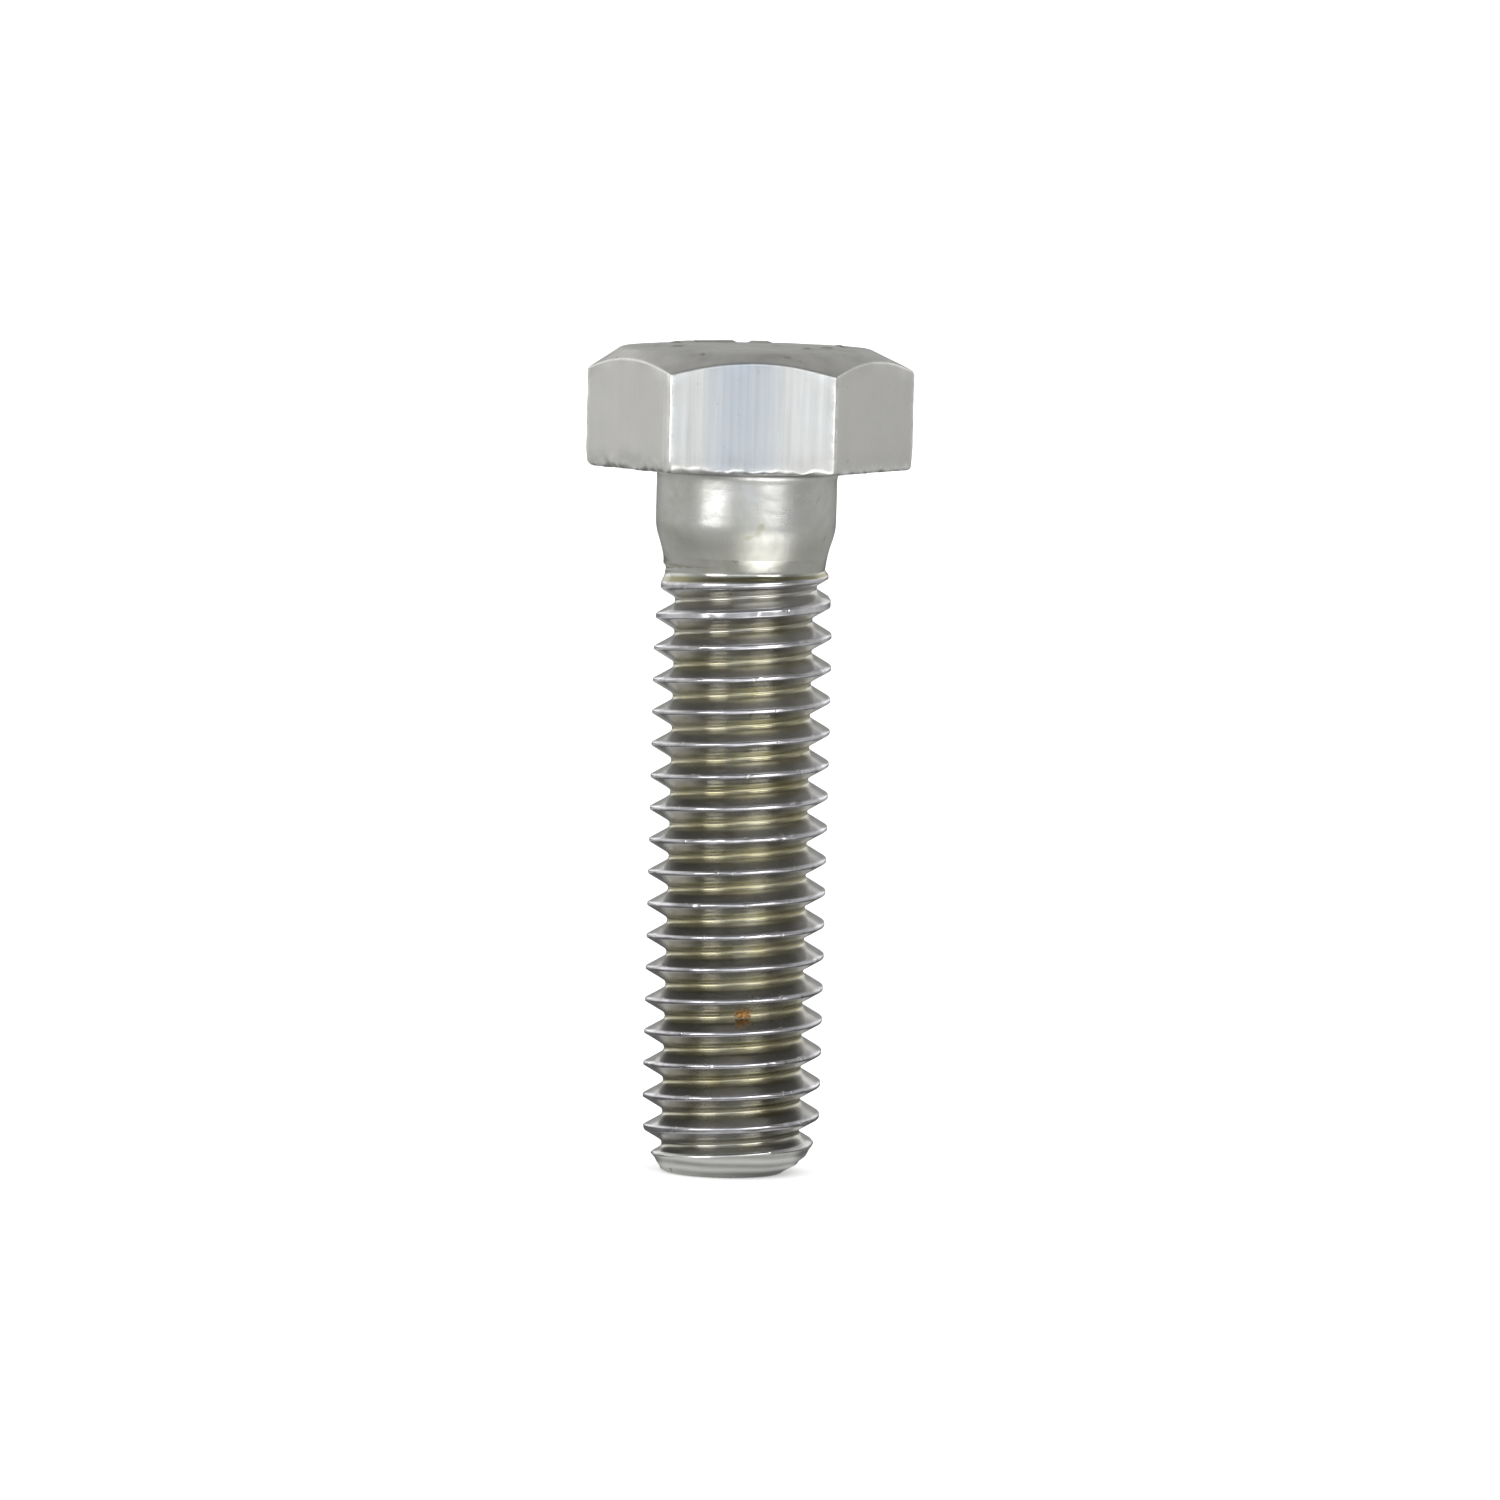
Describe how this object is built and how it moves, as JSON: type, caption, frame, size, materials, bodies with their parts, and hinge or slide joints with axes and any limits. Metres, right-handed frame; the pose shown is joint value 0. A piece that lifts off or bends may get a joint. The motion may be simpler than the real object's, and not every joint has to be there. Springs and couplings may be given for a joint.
{
  "type": "hex bolt",
  "caption": "Short hexagon head bolt with a full-size body, a rolled right-hand thread and a chamfered end.",
  "frame": {"origin": "centre of the bearing face under the head", "axes": "+Z along the bolt's axis towards the top of the head; the shank runs along -Z; two flats of the hexagon face -Y and +Y"},
  "size_m": [0.0144, 0.0124, 0.0365],
  "materials": {
    "steel": "bright stainless steel: smooth forged head, satin body and rolled thread"
  },
  "bodies": {
    "root": {"hex_bolt": "steel"}
  },
  "joints": []
}
